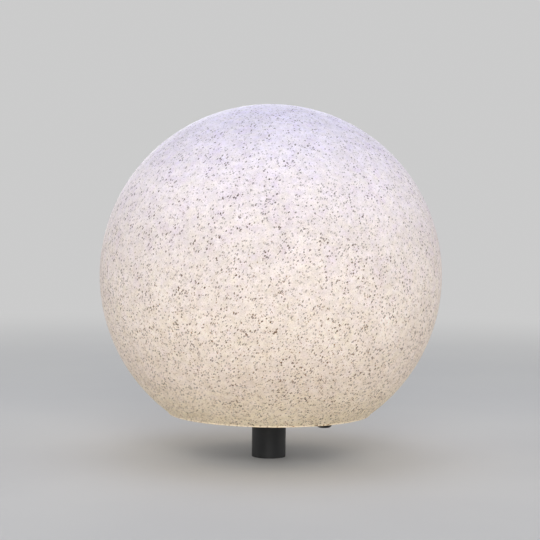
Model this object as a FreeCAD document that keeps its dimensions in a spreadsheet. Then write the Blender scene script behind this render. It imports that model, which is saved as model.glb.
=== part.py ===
"""Garden globe light on a ground spike.

The origin is on the lamp's axis at ground level, with +Z up. Lengths are in millimetres.
"""
import FreeCAD, Part
import Sketcher
import math
import os
import re

os.makedirs("parts", exist_ok=True)
doc = FreeCAD.newDocument("garden_globe_light")

# ---------------------------------------------------------------- driving dimensions

DIMENSIONS = {
    "globe shell": [
        ("globe_radius", 200, "outside of the moulded globe"),
        ("globe_wall", 3, "wall of the globe"),
        ("globe_centre", 222, "height of the globe's centre"),
        ("rim_height", 60, "underside of the foot ring"),
        ("rim_radius", 119.2, "outside of the foot ring"),
        ("rim_width", 13, "width of the foot ring"),
        ("rim_round", 1.2, "rounding of the foot ring's edges"),
        ("mould_draft", 1.2, "lean of the foot ring's inner wall"),
        ("floor_height", 68, "underside of the recessed floor"),
        ("floor_wall", 3, "thickness of the floor"),
        ("floor_hole", 88, "radius of the round opening"),
    ],
    "neck": [
        ("gasket_gauge", 1, "thickness of the neck gasket"),
        ("neck_top", 77, "top of the neck ring"),
        ("neck_radius", 104, "outside of the neck ring"),
        ("neck_bore", 82, "inside of the neck ring"),
        ("skirt_radius", 87.7, "outside of the locating skirt"),
        ("notch_radius", 88.5, "depth of a bayonet notch"),
        ("notch_angle", 35, "turn from locked to free"),
        ("notch_half", 13, "half the width of a notch, degrees"),
        ("stop_half", 2.7, "half the width of a stop, degrees"),
        ("stop_rise", 4, "height of a stop above the ring"),
        ("stop_gap", 0.6, "play between a lug and its stop, degrees"),
        ("neck_rib", 2, "height and width of the ring's outer rib"),
        ("screw_circle", 99, "radius of the circle of neck screws"),
        ("screw_shank", 1.9, "radius of a neck screw"),
        ("screw_hole", 2.2, "clearance hole of a neck screw"),
        ("screw_core", 1.95, "hole that a neck screw cuts its thread in"),
        ("screw_head", 3.4, "radius of a neck screw's head"),
        ("screw_rise", 2.2, "height of a neck screw's head"),
        ("screw_depth", 8, "length of a neck screw below its head"),
        ("neck_count", 6, "number of neck screws"),
        ("head_flat", 0.6, "flat middle of any screw head, as a share of its radius"),
        ("head_edge", 0.35, "edge of any screw head, as a share of its height"),
        ("bayonet_count", 3, "number of lugs and of notches"),
    ],
    "base plate": [
        ("plate_height", 63.5, "underside of the plate"),
        ("plate_wall", 3, "thickness of the plate"),
        ("flange_radius", 94, "outside of the plate"),
        ("chamber_radius", 81.5, "outside of the wiring chamber's wall"),
        ("chamber_wall", 2.5, "thickness of that wall"),
        ("chamber_top", 95, "top of the wiring chamber"),
        ("lug_radius", 87.5, "outside of a bayonet lug"),
        ("lug_height", 77.1, "underside of a bayonet lug"),
        ("lug_rise", 3.9, "thickness of a bayonet lug"),
        ("lug_half", 10, "half the width of a lug, degrees"),
        ("socket_bore", 17.7, "radius of the post socket's bore"),
        ("socket_radius", 22, "outside of the post socket"),
        ("socket_mouth", 46, "height of the post socket's mouth"),
        ("socket_roof", 78, "underside of the post socket's roof"),
        ("socket_wall", 3, "thickness of the roof"),
        ("groove_depth", 19.3, "radius to the bottom of a key groove"),
        ("groove_half", 1.8, "half the width of a key groove"),
        ("key_count", 2, "number of keys and of grooves"),
        ("gusset_count", 8, "number of gussets under the plate"),
        ("gusset_reach", 58, "radius to the end of a gusset"),
        ("gusset_foot", 48, "lowest point of a gusset"),
        ("gusset_wall", 2.4, "thickness of a gusset"),
        ("rib_count", 6, "number of ribs in the wiring chamber"),
        ("rib_rise", 5, "height of those ribs"),
        ("rib_wall", 2, "thickness of those ribs"),
        ("pillar_circle", 70, "radius of the circle of lid pillars"),
        ("pillar_radius", 4, "outside of a lid pillar"),
        ("pillar_bore", 1.5, "screw hole in a lid pillar"),
        ("pillar_depth", 12, "depth of that hole"),
        ("overlap", 0.6, "how far a joined feature runs into its neighbour"),
        ("play", 0.1, "play round a piece that sits inside another"),
        ("seal_inner", 84, "inside of the base gasket"),
        ("seal_outer", 93, "outside of the base gasket"),
    ],
    "wiring cover": [
        ("cover_wall", 2.5, "thickness of the lid"),
        ("cover_ring_inner", 21, "inside of the ring round the lampholder"),
        ("cover_ring_outer", 23, "outside of that ring"),
        ("cover_ring_rise", 2, "height of that ring and of the lid's ribs"),
        ("cover_rib_end", 62, "radius to the end of a rib on the lid"),
        ("lid_screw", 1.45, "radius of a lid screw"),
        ("lid_screw_hole", 1.8, "clearance hole of a lid screw"),
        ("lid_screw_head", 2.8, "radius of a lid screw's head"),
        ("lid_screw_rise", 1.8, "height of a lid screw's head"),
        ("lid_screw_depth", 12, "length of a lid screw below its head"),
    ],
    "cable gland": [
        ("gland_offset", 65, "distance of the gland from the lamp's axis"),
        ("gland_hole", 8.1, "radius of the plate's hole for the gland"),
        ("gland_thread", 8, "radius of the gland's upper thread"),
        ("gland_bore", 5, "radius of the gland's bore"),
        ("gland_seat", 9.2, "radius of the gland's lower thread"),
        ("gland_pocket", 7.4, "radius of the pocket for the seal"),
        ("gland_flats", 22, "across the flats of the gland's hexagon"),
        ("gland_top", 73, "top of the gland's upper thread"),
        ("washer_radius", 12.5, "outside of the gland's washer"),
        ("washer_gauge", 1, "thickness of the gland's washer"),
        ("gland_hex_rise", 4, "height of the gland's hexagon"),
        ("gland_seat_foot", 54, "lower end of the gland's lower thread"),
        ("nut_foot", 42.8, "lowest point of the domed nut"),
        ("nut_top", 57.7, "top of the domed nut"),
        ("nut_dome", 49.6, "height where the domed nut's hexagon starts"),
        ("nut_flats", 22, "across the flats of the domed nut"),
        ("nut_mouth", 5.3, "radius of the domed nut's mouth"),
        ("nut_lip", 6.6, "outer radius of the domed nut's mouth"),
        ("nut_bore", 9.4, "thread radius of the domed nut"),
        ("seal_bore", 4.5, "radius of the seal's bore"),
        ("seal_play", 0.3, "play round the seal before it is squeezed"),
        ("seal_foot", 45.5, "lower end of the seal"),
        ("seal_top", 59.5, "upper end of the seal"),
        ("locknut_flats", 22, "across the flats of the locknut"),
        ("locknut_rise", 4.5, "height of the locknut"),
    ],
    "wiring": [
        ("block_offset", 47, "distance of the terminal block from the axis"),
        ("block_depth", 18, "depth of the terminal block"),
        ("block_width", 30, "width of the terminal block"),
        ("block_base", 8, "height of the terminal block's base"),
        ("block_rise", 14, "full height of the terminal block"),
        ("block_top", 12, "width of one raised terminal"),
        ("pole_offset", 7.5, "distance of a pole from the block's middle"),
        ("tube_radius", 2.6, "outside of a terminal tube"),
        ("tube_bore", 1.5, "bore of a terminal tube"),
        ("tube_level", 7, "height of a tube's axis in the block"),
        ("tube_inset", 1, "how far a tube ends inside the block"),
        ("block_screw", 1.4, "radius of a terminal screw"),
        ("block_screw_hole", 1.9, "radius of the well over a terminal screw"),
        ("block_screw_offset", 4.5, "distance of a screw from the tube's middle"),
        ("block_screw_top", 11.5, "top of a terminal screw above the plate"),
        ("clamp_offset", 38, "distance of the cord clamp from the axis"),
        ("clamp_depth", 8, "depth of the cord clamp"),
        ("clamp_width", 30, "width of the cord clamp"),
        ("clamp_rise", 8, "height of the cord clamp's middle"),
        ("clamp_wall", 3, "thickness of the cord clamp"),
        ("clamp_crown", 18, "width of the cord clamp's raised middle"),
        ("clamp_pad", 4, "height of the pads under the cord clamp"),
        ("clamp_screw_offset", 12, "distance of a clamp screw from the middle"),
        ("clamp_pad_radius", 3.2, "radius of a pad under the clamp"),
        ("lead_radius", 1.1, "radius of a lead"),
        ("lead_spread", 1.6, "offset of each lead inside the nipple"),
        ("lead_bend", 5, "bend radius of a lead's axis"),
        ("lead_crest", 85.5, "height of a lead where it crosses the socket"),
        ("lead_lift", 30, "distance from the axis where a lead has risen"),
    ],
    "lampholder": [
        ("nipple_radius", 4.95, "outside of the threaded tube"),
        ("nipple_bore", 3.6, "bore of the threaded tube"),
        ("nipple_foot", 91, "lower end of the threaded tube"),
        ("nipple_top", 103.5, "upper end of the threaded tube"),
        ("nipple_hole", 5.02, "hole for the threaded tube"),
        ("nipple_flats", 14, "across the flats of its nut"),
        ("nipple_nut_rise", 3, "height of its nut"),
        ("holder_radius", 20, "outside of the lampholder"),
        ("holder_wall", 2.2, "wall of the lampholder"),
        ("dome_foot", 15, "radius of the dome's underside"),
        ("dome_shoulder", 106, "height where the dome reaches full width"),
        ("dome_ledge", 108, "height of the ledge that carries the ceramic"),
        ("dome_ledge_bore", 15.5, "inside of the dome below the ledge"),
        ("dome_top", 112, "top edge of the dome"),
        ("ceramic_radius", 17.6, "outside of the ceramic"),
        ("ceramic_top", 118, "top of the ceramic"),
        ("ceramic_hole", 1.4, "hole for a contact's rivet"),
        ("sleeve_top", 146, "mouth of the lampholder"),
        ("sleeve_step", 118.6, "height of the sleeve's inner step"),
        ("sleeve_bore", 14.3, "inside of the sleeve's mouth"),
        ("flute_count", 12, "number of grip flutes"),
        ("flute_radius", 2.2, "radius of a grip flute"),
        ("flute_offset", 21.2, "distance of a flute's centre from the axis"),
        ("flute_foot", 116, "lower end of the flutes"),
        ("flute_top", 140, "upper end of the flutes"),
        ("shell_outer", 13.9, "outside of the threaded shell"),
        ("shell_inner", 13.3, "inside of the threaded shell"),
        ("shell_top", 142, "top of the threaded shell"),
        ("shell_flange", 8, "inside of the shell's bottom flange"),
        ("shell_gauge", 0.6, "thickness of the shell's bottom flange"),
        ("contact_gauge", 0.8, "thickness of a contact's foot"),
        ("contact_rivet", 1.3, "radius of a contact's rivet"),
        ("contact_half", 3, "half the width of a contact's foot"),
        ("contact_disc", 4.2, "radius of the centre contact"),
        ("contact_crown", 120.4, "top of the centre contact"),
        ("side_rivet", 10, "offset of the side contact's rivet"),
        ("side_foot", 11.6, "far end of the side contact's foot"),
    ],
    "bulb": [
        ("tip_foot", 120.5, "lowest point of the bulb"),
        ("tip_face", 3.4, "flat radius of the bulb's tip"),
        ("tip_radius", 4.6, "radius of the bulb's tip"),
        ("tip_rise", 2.1, "height of the bulb's tip"),
        ("insulator_top", 127, "top of the insulator"),
        ("insulator_radius", 10.2, "radius of the insulator's top"),
        ("cap_radius", 12.9, "mean radius of the bulb's screw cap"),
        ("cap_wall", 0.6, "wall of the screw cap"),
        ("cap_foot", 129, "height where the cap is at full width"),
        ("cap_top", 147, "top of the screw cap"),
        ("sink_foot", 147, "lower end of the heat sink"),
        ("sink_neck", 13.4, "radius of the heat sink's lower end"),
        ("sink_flare", 186, "top of the heat sink"),
        ("sink_radius", 28, "radius of the heat sink's top"),
        ("sink_bend", 120, "radius of the heat sink's curved side"),
        ("sink_wall", 1.5, "wall of the heat sink"),
        ("board_height", 183, "underside of the round board"),
        ("board_radius", 25.8, "radius of the round board"),
        ("board_wall", 1.6, "thickness of both boards"),
        ("chip_count", 12, "number of light chips"),
        ("chip_circle", 18, "radius of the circle of chips"),
        ("chip_half", 1.5, "half the width of a chip"),
        ("chip_rise", 0.8, "height of a chip"),
        ("driver_half", 8, "half the width of the driver board"),
        ("driver_foot", 152, "lower end of the driver board"),
        ("driver_top", 180, "upper end of the driver board"),
        ("diffuser_radius", 30, "outside of the diffuser"),
        ("diffuser_centre", 196, "height of the diffuser's centre"),
        ("diffuser_wall", 1.5, "wall of the diffuser"),
    ],
    "post and spike": [
        ("post_radius", 20, "outside of the post"),
        ("post_bore", 15, "inside of the post"),
        ("post_foot", 30, "depth of the post's lower end below ground"),
        ("spigot_radius", 17.5, "radius of the spigot"),
        ("spigot_top", 77.5, "top of the spigot"),
        ("spigot_chamfer", 1.5, "chamfer of the spigot's top"),
        ("key_reach", 19, "radius to the outside of a key"),
        ("key_half", 1.5, "half the width of a key"),
        ("plug_radius", 14.9, "radius of the spike's plug"),
        ("plug_top", 12, "top of the spike's plug"),
        ("collar_wall", 5, "thickness of the spike's collar"),
        ("collar_radius", 19.5, "outside of the spike's collar"),
        ("fin_reach", 19, "radius to a fin's edge under the collar"),
        ("fin_shoulder", 90, "depth where the fins start to narrow"),
        ("fin_notch", 4, "depth of a barb"),
        ("fin_taper", 0.45, "width at the lower barb, as a share of fin_reach"),
        ("fin_wall", 4, "thickness of a fin"),
        ("spike_depth", 200, "depth of the spike's point"),
        ("spike_point", 1.5, "half the width of the spike's point"),
    ],
}

sheet = doc.addObject("Spreadsheet::Sheet", "Dimensions")
ALIASES = set()
row = 0
for group, cells in DIMENSIONS.items():
    row += 1
    sheet.set(f"A{row}", group)
    for alias, number, note in cells:
        row += 1
        sheet.set(f"A{row}", alias)
        sheet.set(f"B{row}", str(number))
        sheet.set(f"C{row}", note)
        sheet.setAlias(f"B{row}", alias)
        ALIASES.add(alias)
doc.recompute()


def bound(formula):
    """A formula of plain aliases, spelt as the document's expressions need it."""
    def spell(word):
        return f"Dimensions.{word[0]}" if word[0] in ALIASES else word[0]
    return re.sub(r"[a-z_]+", spell, formula)


def size(formula):
    """The value of a formula."""
    number = sheet.evalExpression(bound(formula))
    return float(getattr(number, "Value", number))


# ---------------------------------------------------------------- drawing helpers

def new_body(label):
    """An empty body; it may hold several separate solids, such as a set of screws."""
    body = doc.addObject("PartDesign::Body", label)
    body.Label = label
    body.AllowCompound = True
    return body


def origin_feature(body, role):
    return next(item for item in body.Origin.OriginFeatures if item.Role == role)


def drawing(body, name, role="XZ_Plane", level="0", turn=0):
    """A sketch on one of the body's planes, moved along its normal or turned about Z."""
    sketch = body.newObject("Sketcher::SketchObject", f"{body.Label}_{name}")
    sketch.AttachmentSupport = [(origin_feature(body, role), "")]
    sketch.MapMode = "FlatFace"
    if turn:
        spin = FreeCAD.Rotation(FreeCAD.Vector(0, 1, 0), turn)
        sketch.AttachmentOffset = FreeCAD.Placement(FreeCAD.Vector(), spin)
    if level != "0":
        sketch.setExpression("AttachmentOffset.Base.z", bound(level))
    return sketch


def hold(sketch, kind, *target, formula):
    """One dimension of a sketch, driven by a formula."""
    index = sketch.addConstraint(Sketcher.Constraint(kind, *target, size(formula)))
    if any(letter.isalpha() for letter in formula):
        sketch.setExpression(f"Constraints[{index}]", bound(formula))


def bent_edge(start, end, radius):
    """The arc from start to end; a positive radius has its centre on the left."""
    chord = end - start
    rise = math.sqrt(max(radius * radius - chord.Length ** 2 / 4, 0))
    left = FreeCAD.Vector(-chord.y, chord.x, 0).normalize()
    centre = start + chord / 2 + left * math.copysign(rise, radius)
    ends = [math.atan2(spot.y - centre.y, spot.x - centre.x) for spot in (start, end)]
    if radius < 0:
        ends.reverse()
    circle = Part.Circle(centre, FreeCAD.Vector(0, 0, 1), abs(radius))
    return Part.ArcOfCircle(circle, *ends)


def outline(sketch, corners):
    """A closed outline through (across, up) corners; a third value bends the edge before."""
    spots = [FreeCAD.Vector(size(corner[0]), size(corner[1]), 0) for corner in corners]
    first = sketch.GeometryCount
    ends = []
    for index, corner in enumerate(corners):
        start, end = spots[index - 1], spots[index]
        radius = size(corner[2]) if len(corner) > 2 else 0
        edge = bent_edge(start, end, radius) if radius else Part.LineSegment(start, end)
        sketch.addGeometry(edge, False)
        ends.append((2, 1) if radius < 0 else (1, 2))
    for index, corner in enumerate(corners):
        edge = first + index
        following = (index + 1) % len(corners)
        joint = (edge, ends[index][1], first + following, ends[following][0])
        sketch.addConstraint(Sketcher.Constraint("Coincident", *joint))
        hold(sketch, "DistanceX", edge, ends[index][1], formula=corner[0])
        hold(sketch, "DistanceY", edge, ends[index][1], formula=corner[1])
        if len(corner) > 2:
            hold(sketch, "Radius", edge, formula=corner[2].lstrip("-"))


def disc(sketch, radius, across="0", up="0"):
    """A circle in a sketch."""
    centre = FreeCAD.Vector(size(across), size(up), 0)
    circle = Part.Circle(centre, FreeCAD.Vector(0, 0, 1), size(radius))
    edge = sketch.addGeometry(circle, False)
    hold(sketch, "DistanceX", edge, 3, formula=across)
    hold(sketch, "DistanceY", edge, 3, formula=up)
    hold(sketch, "Radius", edge, formula=radius)


def block(sketch, low, high):
    """A rectangle between two corners."""
    outline(sketch, [low, (high[0], low[1]), high, (low[0], high[1])])


def sector(sketch, inner, outer, middle, half):
    """Part of a ring, between two radii and round a middle angle in degrees."""
    first, last = f"({middle} - {half})", f"({middle} + {half})"
    outline(sketch, [
        (f"{inner} * cos{first}", f"{inner} * sin{first}", f"-{inner}"),
        (f"{outer} * cos{first}", f"{outer} * sin{first}"),
        (f"{outer} * cos{last}", f"{outer} * sin{last}", outer),
        (f"{inner} * cos{last}", f"{inner} * sin{last}"),
    ])


def hexagon(sketch, flats):
    """A hexagon round the origin, given across its flats."""
    corners = []
    for step in range(6):
        angle = 30 + 60 * step
        reach = f"{flats} / sqrt(3)"
        corners.append((f"{reach} * cos({angle})", f"{reach} * sin({angle})"))
    outline(sketch, corners)


def turned(body, name, corners, groove=False, around="0"):
    """A profile turned about the vertical line at a distance from the axis."""
    sketch = drawing(body, f"{name}_profile")
    outline(sketch, corners)
    axis = "V_Axis"
    if around != "0":
        spots = [FreeCAD.Vector(size(around), up, 0) for up in (0, 1)]
        edge = sketch.addGeometry(Part.LineSegment(*spots), True)
        for end, up in ((1, "0"), (2, "1")):
            hold(sketch, "DistanceX", edge, end, formula=around)
            hold(sketch, "DistanceY", edge, end, formula=up)
        axis = "Axis0"
    kind = "PartDesign::Groove" if groove else "PartDesign::Revolution"
    feature = body.newObject(kind, f"{body.Label}_{name}")
    feature.Profile = sketch
    feature.ReferenceAxis = (sketch, [axis])
    return feature


def raised(body, sketch, rise, name="pad", both_ways=False):
    """Material added on a sketch, along its normal or to both sides of it."""
    feature = body.newObject("PartDesign::Pad", f"{body.Label}_{name}")
    feature.Profile = sketch
    feature.setExpression("Length", bound(rise))
    if both_ways:
        feature.SideType = "Symmetric"
    return feature


def cut(body, sketch, depth, name="cut", upwards=False):
    """Material removed from a sketch, down its normal or up it."""
    feature = body.newObject("PartDesign::Pocket", f"{body.Label}_{name}")
    feature.Profile = sketch
    feature.setExpression("Length", bound(depth))
    feature.Reversed = upwards
    return feature


def round_the_axis(body, feature, count):
    """Repeats a feature evenly round the Z axis."""
    pattern = body.newObject("PartDesign::PolarPattern", f"{feature.Name}_ring")
    pattern.Originals = [feature]
    pattern.Axis = (origin_feature(body, "Z_Axis"), [""])
    pattern.Angle = 360
    pattern.setExpression("Occurrences", bound(count))
    body.Tip = pattern
    return pattern


def rings(feature, *places):
    """Names of the round edges at the given (radius, height) formulas."""
    doc.recompute()
    wanted = [(size(radius), size(height)) for radius, height in places]
    found = []
    for number, edge in enumerate(feature.Shape.Edges, 1):
        if edge.Degenerated or not isinstance(edge.Curve, Part.Circle):
            continue
        here = (edge.Curve.Radius, edge.Curve.Center.z)
        for place in wanted:
            if math.dist(here, place) < 0.01:
                found.append(f"Edge{number}")
    return found


def rounded(body, feature, radius, *places):
    """A fillet on round edges."""
    fillet = body.newObject("PartDesign::Fillet", f"{feature.Name}_round")
    fillet.Base = (feature, rings(feature, *places))
    fillet.setExpression("Radius", bound(radius))
    return fillet


def set_off(body, distance):
    """Moves a body made round its own axis out along +X."""
    body.setExpression("Placement.Base.x", bound(distance))


def screw_profile(around, seat, head, head_rise, shank, depth, point=1):
    """Half section of a round-headed screw; point is +1 for a shank that goes up."""
    way = "+" if point > 0 else "-"
    back = "-" if point > 0 else "+"
    corners = [
        (around, f"{seat} {back} {head_rise}"),
        (f"{around} + {head} * head_flat", f"{seat} {back} {head_rise}"),
        (f"{around} + {head}", f"{seat} {back} {head_rise} * head_edge"),
        (f"{around} + {head}", seat),
        (f"{around} + {shank}", seat),
        (f"{around} + {shank}", f"{seat} {way} {depth} {back} {shank}"),
        (around, f"{seat} {way} {depth}"),
    ]
    return corners


# ---------------------------------------------------------------- globe

FLOOR_TOP = "floor_height + floor_wall"
GASKET_TOP = "floor_height + floor_wall + gasket_gauge"


def globe_shell():
    """One-piece hollow globe with a foot ring and a recessed floor with a round opening."""
    body = new_body("globe_shell")
    inner = "(globe_radius - globe_wall)"
    foot_inner = "rim_radius - rim_width"
    skin = turned(body, "skin", [
        ("0", f"globe_centre + {inner}", inner),
        ("0", "globe_centre + globe_radius"),
        ("rim_radius", "globe_centre - sqrt(globe_radius^2 - rim_radius^2)", "-globe_radius"),
        ("rim_radius", "rim_height"),
        (foot_inner, "rim_height"),
        (f"{foot_inner} - mould_draft", "floor_height"),
        ("floor_hole", "floor_height"),
        ("floor_hole", FLOOR_TOP),
        (f"sqrt({inner}^2 - (globe_centre - floor_height - floor_wall)^2)", FLOOR_TOP),
    ])
    edges = [("rim_radius", "rim_height"), (foot_inner, "rim_height")]
    skin = rounded(body, skin, "rim_round", *edges)
    holes = drawing(body, "holes", "XY_Plane", "floor_height")
    disc(holes, "screw_hole", "screw_circle")
    hole = cut(body, holes, "floor_wall", "hole", upwards=True)
    round_the_axis(body, hole, "neck_count")
    return body


def neck_gasket():
    """Thin ring under the neck ring."""
    body = new_body("neck_gasket")
    turned(body, "band", [
        ("notch_radius", FLOOR_TOP),
        ("neck_radius", FLOOR_TOP),
        ("neck_radius", GASKET_TOP),
        ("notch_radius", GASKET_TOP),
    ])
    holes = drawing(body, "holes", "XY_Plane", FLOOR_TOP)
    disc(holes, "screw_hole", "screw_circle")
    hole = cut(body, holes, "gasket_gauge", "hole", upwards=True)
    round_the_axis(body, hole, "neck_count")
    return body


def neck_ring():
    """Bayonet ring inside the globe: a skirt through the floor, notches, stops and a rib."""
    body = new_body("neck_ring")
    turned(body, "band", [
        ("neck_bore", "floor_height"),
        ("skirt_radius", "floor_height"),
        ("skirt_radius", GASKET_TOP),
        ("neck_radius", GASKET_TOP),
        ("neck_radius", "neck_top + neck_rib"),
        ("neck_radius - neck_rib", "neck_top + neck_rib"),
        ("neck_radius - neck_rib", "neck_top"),
        ("neck_bore", "neck_top"),
    ])
    notches = drawing(body, "notches", "XY_Plane", "floor_height - overlap")
    sector(notches, "(neck_bore - overlap)", "notch_radius", "-notch_angle", "notch_half")
    notch = cut(body, notches, "neck_top - floor_height + 2 * overlap", "notch", upwards=True)
    round_the_axis(body, notch, "bayonet_count")
    holes = drawing(body, "holes", "XY_Plane", GASKET_TOP)
    disc(holes, "screw_core", "screw_circle")
    hole = cut(body, holes, f"neck_top - ({GASKET_TOP})", "hole", upwards=True)
    round_the_axis(body, hole, "neck_count")
    locked = "(lug_half + stop_gap + stop_half)"
    freed = "(-notch_angle - notch_half - stop_gap - stop_half)"
    for name, middle in (("locked_stop", locked), ("free_stop", freed)):
        stops = drawing(body, f"{name}_plan", "XY_Plane", "neck_top")
        sector(stops, "(neck_bore + overlap)", "lug_radius", middle, "stop_half")
        stop = raised(body, stops, "stop_rise", name)
        round_the_axis(body, stop, "bayonet_count")
    return body


def neck_screws():
    """Screws that hold the ring in the globe, driven up from below."""
    body = new_body("neck_screws")
    shape = ("screw_circle", "floor_height", "screw_head", "screw_rise", "screw_shank")
    screw = turned(body, "turning", screw_profile(*shape, "screw_depth"), around="screw_circle")
    round_the_axis(body, screw, "neck_count")
    return body


# ---------------------------------------------------------------- base plate and lid

PLATE_TOP = "plate_height + plate_wall"


def base_plate():
    """Moulded plate: flange, wiring chamber, bayonet lugs, post socket, gussets and ribs."""
    body = new_body("base_plate")
    chamber_inner = "chamber_radius - chamber_wall"
    form = turned(body, "form", [
        ("0", "socket_roof"),
        ("socket_bore", "socket_roof"),
        ("socket_bore", "socket_mouth"),
        ("socket_radius", "socket_mouth"),
        ("socket_radius", "plate_height"),
        ("flange_radius", "plate_height"),
        ("flange_radius", PLATE_TOP),
        ("chamber_radius", PLATE_TOP),
        ("chamber_radius", "chamber_top"),
        (chamber_inner, "chamber_top"),
        (chamber_inner, PLATE_TOP),
        ("socket_radius", PLATE_TOP),
        ("socket_radius", "socket_roof + socket_wall"),
        ("0", "socket_roof + socket_wall"),
    ])
    form = rounded(body, form, "socket_wall", ("socket_radius", "plate_height"))
    lugs = drawing(body, "lugs", "XY_Plane", "lug_height")
    sector(lugs, "(chamber_radius - overlap)", "lug_radius", "0", "lug_half")
    lug = raised(body, lugs, "lug_rise", "lug")
    round_the_axis(body, lug, "bayonet_count")
    gussets = drawing(body, "gussets", turn=180 / size("gusset_count"))
    outline(gussets, [
        ("socket_radius - overlap", "gusset_foot"),
        ("socket_radius + gusset_wall", "gusset_foot"),
        ("gusset_reach", "plate_height - overlap"),
        ("gusset_reach", "plate_height + overlap"),
        ("socket_radius - overlap", "plate_height + overlap"),
    ])
    gusset = raised(body, gussets, "gusset_wall", "gusset", both_ways=True)
    round_the_axis(body, gusset, "gusset_count")
    ribs = drawing(body, "ribs", turn=180 / size("rib_count"))
    block(ribs, ("socket_radius - overlap", f"{PLATE_TOP} - overlap"),
          (f"{chamber_inner} + overlap", f"{PLATE_TOP} + rib_rise"))
    rib = raised(body, ribs, "rib_wall", "rib", both_ways=True)
    round_the_axis(body, rib, "rib_count")
    pillars = drawing(body, "pillars", "XY_Plane", f"{PLATE_TOP} - overlap")
    disc(pillars, "pillar_radius", "-pillar_circle")
    pillar = raised(body, pillars, f"chamber_top - ({PLATE_TOP}) + overlap", "pillar")
    round_the_axis(body, pillar, "bayonet_count")
    bores = drawing(body, "bores", "XY_Plane", "chamber_top")
    disc(bores, "pillar_bore", "-pillar_circle")
    bore = cut(body, bores, "pillar_depth", "bore")
    round_the_axis(body, bore, "bayonet_count")
    pads = drawing(body, "clamp_pads", "XY_Plane", f"{PLATE_TOP} - overlap")
    for side in ("", "-"):
        disc(pads, "clamp_pad_radius", "clamp_offset", f"{side}clamp_screw_offset")
    raised(body, pads, "clamp_pad + overlap", "clamp_pad")
    grooves = drawing(body, "grooves", "XY_Plane", "socket_mouth - overlap")
    block(grooves, ("socket_bore - 2 * overlap", "-groove_half"), ("groove_depth", "groove_half"))
    groove = cut(body, grooves, "socket_roof - socket_mouth + overlap", "groove", upwards=True)
    round_the_axis(body, groove, "key_count")
    gland_hole = drawing(body, "gland_hole", "XY_Plane", "plate_height")
    disc(gland_hole, "gland_hole", "gland_offset")
    cut(body, gland_hole, "plate_wall", "gland_cut", upwards=True)
    return body


def base_gasket():
    """Flat ring between the flange and the globe's floor."""
    body = new_body("base_gasket")
    turned(body, "band", [
        ("seal_inner", PLATE_TOP),
        ("seal_outer", PLATE_TOP),
        ("seal_outer", "floor_height"),
        ("seal_inner", "floor_height"),
    ])
    return body


LID_TOP = "chamber_top + cover_wall"


def wiring_cover():
    """Lid of the wiring chamber, with a ring round the lampholder and low ribs."""
    body = new_body("wiring_cover")
    turned(body, "plate", [
        ("nipple_hole", "chamber_top"),
        ("chamber_radius - play", "chamber_top"),
        ("chamber_radius - play", LID_TOP),
        ("cover_ring_outer", LID_TOP),
        ("cover_ring_outer", f"{LID_TOP} + cover_ring_rise"),
        ("cover_ring_inner", f"{LID_TOP} + cover_ring_rise"),
        ("cover_ring_inner", LID_TOP),
        ("nipple_hole", LID_TOP),
    ])
    ribs = drawing(body, "ribs")
    block(ribs, ("cover_ring_outer - overlap", f"{LID_TOP} - overlap"),
          ("cover_rib_end", f"{LID_TOP} + cover_ring_rise"))
    rib = raised(body, ribs, "rib_wall", "rib", both_ways=True)
    round_the_axis(body, rib, "rib_count")
    holes = drawing(body, "holes", "XY_Plane", LID_TOP)
    disc(holes, "lid_screw_hole", "-pillar_circle")
    hole = cut(body, holes, "cover_wall", "hole")
    round_the_axis(body, hole, "bayonet_count")
    return body


def cover_screws():
    """Screws of the lid, driven down into the pillars."""
    body = new_body("cover_screws")
    shape = ("-pillar_circle", LID_TOP, "lid_screw_head", "lid_screw_rise", "lid_screw")
    corners = screw_profile(*shape, "lid_screw_depth", point=-1)
    screw = turned(body, "turning", corners, around="-pillar_circle")
    round_the_axis(body, screw, "bayonet_count")
    return body


# ---------------------------------------------------------------- cable gland

HEX_TOP = "plate_height - washer_gauge"


def gland_washer():
    """Sealing washer between the gland's hexagon and the plate."""
    body = new_body("gland_washer")
    turned(body, "ring", [
        ("gland_hole", HEX_TOP),
        ("washer_radius", HEX_TOP),
        ("washer_radius", "plate_height"),
        ("gland_hole", "plate_height"),
    ])
    set_off(body, "gland_offset")
    return body


def gland_body():
    """Body of the gland: a hexagon between two threaded ends, with a pocket for the seal."""
    body = new_body("gland_body")
    plan = drawing(body, "plan", "XY_Plane", f"{HEX_TOP} - gland_hex_rise")
    hexagon(plan, "gland_flats")
    raised(body, plan, "gland_hex_rise", "hexagon")
    turned(body, "ends", [
        ("0", "gland_seat_foot"),
        ("gland_seat", "gland_seat_foot"),
        ("gland_seat", f"{HEX_TOP} - overlap"),
        ("gland_thread", f"{HEX_TOP} - overlap"),
        ("gland_thread", "gland_top"),
        ("0", "gland_top"),
    ])
    turned(body, "bore", [
        ("0", "gland_seat_foot"),
        ("gland_pocket", "gland_seat_foot"),
        ("gland_pocket", "seal_top"),
        ("gland_bore", "seal_top"),
        ("gland_bore", "gland_top"),
        ("0", "gland_top"),
    ], groove=True)
    set_off(body, "gland_offset")
    return body


def gland_nut():
    """Domed nut that squeezes the seal."""
    body = new_body("gland_nut")
    plan = drawing(body, "plan", "XY_Plane", "nut_dome")
    hexagon(plan, "nut_flats")
    raised(body, plan, "nut_top - nut_dome", "hexagon")
    turned(body, "dome", [
        ("0", "nut_foot"),
        ("nut_lip", "nut_foot"),
        ("nut_flats / 2", "nut_dome", "nut_flats / 2"),
        ("0", "nut_dome"),
    ])
    turned(body, "bore", [
        ("0", "nut_foot"),
        ("nut_mouth", "nut_foot"),
        ("nut_mouth", "seal_foot"),
        ("nut_bore", "nut_dome"),
        ("nut_bore", "nut_top"),
        ("0", "nut_top"),
    ], groove=True)
    set_off(body, "gland_offset")
    return body


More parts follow.
